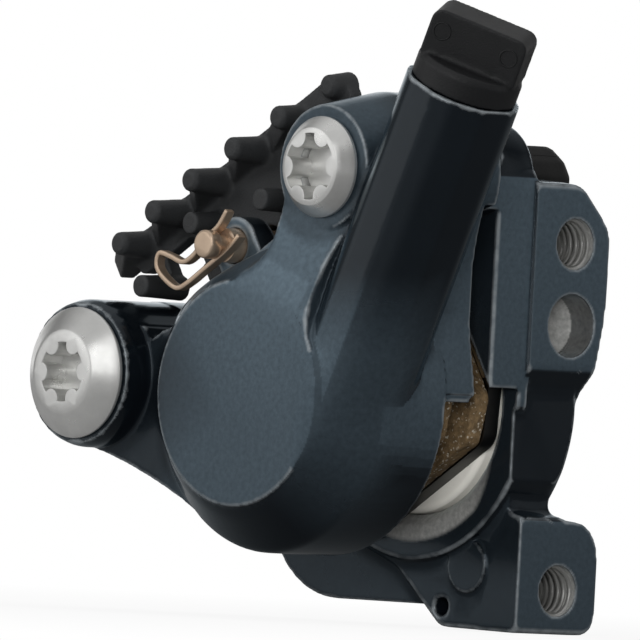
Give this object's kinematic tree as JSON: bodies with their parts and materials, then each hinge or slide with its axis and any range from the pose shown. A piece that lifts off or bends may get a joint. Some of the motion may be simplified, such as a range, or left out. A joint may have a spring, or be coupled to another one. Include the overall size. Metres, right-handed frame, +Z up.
{
  "type": "bicycle disc brake caliper",
  "caption": "Hydraulic flat-mount bicycle disc brake caliper: split cast body with opposed pistons, finned sliding pads, plugged hose port and capped bleed nipple.",
  "frame": {"origin": "midway between the two tapped mount holes, on the plane of the mount pads", "axes": "+X along the rotor axis from the mount side half to the hose side half, +Y out of the mount face towards the frame or fork, +Z up along the line of the mount holes"},
  "size_m": [0.0401, 0.0633, 0.0614],
  "materials": {
    "body_paint": "gloss dark slate paint on cast aluminium",
    "bolt_steel": "satin plated steel",
    "piston_ceramic": "off-white ceramic",
    "seal_rubber": "matte rubber",
    "plate_steel": "dark plated steel",
    "friction_resin": "granular resin friction material",
    "fin_black": "matte black coated aluminium",
    "rivet_metal": "plain rivet heads",
    "spring_steel": "bright spring steel",
    "gold_steel": "champagne plated steel",
    "plug_plastic": "matte black moulded plastic",
    "cap_rubber": "matte black rubber"
  },
  "bodies": {
    "caliper_body": {"hose_side_body": "body_paint", "mount_side_body": "body_paint", "upper_body_bolt": "bolt_steel", "lower_body_bolt": "bolt_steel", "hose_side_piston_seal": "seal_rubber", "mount_side_piston_seal": "seal_rubber", "transfer_port_seal": "seal_rubber", "pad_return_spring": "spring_steel", "pad_axle": "gold_steel", "pad_axle_clip": "gold_steel"},
    "hose_side_pad": {"hose_side_backing_plate": "plate_steel", "hose_side_friction_pad": "friction_resin", "hose_side_cooling_fins": "fin_black", "hose_side_fin_rivets": "rivet_metal"},
    "mount_side_pad": {"mount_side_backing_plate": "plate_steel", "mount_side_friction_pad": "friction_resin", "mount_side_cooling_fins": "fin_black", "mount_side_fin_rivets": "rivet_metal"},
    "hose_side_cup": {"hose_side_piston": "piston_ceramic"},
    "mount_side_cup": {"mount_side_piston": "piston_ceramic"},
    "port_plug": {"hose_port_plug": "plug_plastic"},
    "bleed_screw": {"bleed_nipple": "bolt_steel"},
    "bleed_cap": {"bleed_nipple_cap": "cap_rubber"}
  },
  "joints": [
    {"name": "hose_side_pad_slide", "type": "slide", "parent": "caliper_body", "child": "hose_side_pad", "axis": [-1, 0, 0], "range_m": [0, 0.0012], "stiffness_N_per_m": 400, "deforming": ["pad_return_spring"]},
    {"name": "mount_side_pad_slide", "type": "slide", "parent": "caliper_body", "child": "mount_side_pad", "axis": [1, 0, 0], "range_m": [0, 0.0012], "deforming": ["pad_return_spring"]},
    {"name": "hose_side_piston_slide", "type": "slide", "parent": "caliper_body", "child": "hose_side_cup", "axis": [-1, 0, 0], "range_m": [0, 0.0012]},
    {"name": "mount_side_piston_slide", "type": "slide", "parent": "caliper_body", "child": "mount_side_cup", "axis": [1, 0, 0], "range_m": [0, 0.0012]},
    {"name": "port_plug_pull", "type": "slide", "parent": "caliper_body", "child": "port_plug", "axis": [0, 0.4067, 0.9135], "range_m": [0, 0.012]},
    {"name": "bleed_screw_turn", "type": "hinge", "parent": "caliper_body", "child": "bleed_screw", "pos_m": [-0.0045, -0.0109, 0.018], "axis": [0, 0, 1], "range_deg": [0, 90]},
    {"name": "bleed_cap_pull", "type": "slide", "parent": "bleed_screw", "child": "bleed_cap", "axis": [0, 0, 1], "range_m": [0, 0.009]}
  ],
  "couplings": [
    {"joint": "mount_side_pad_slide", "follows": "hose_side_pad_slide", "ratio": 1},
    {"joint": "hose_side_piston_slide", "follows": "hose_side_pad_slide", "ratio": 1},
    {"joint": "mount_side_piston_slide", "follows": "hose_side_pad_slide", "ratio": 1}
  ]
}
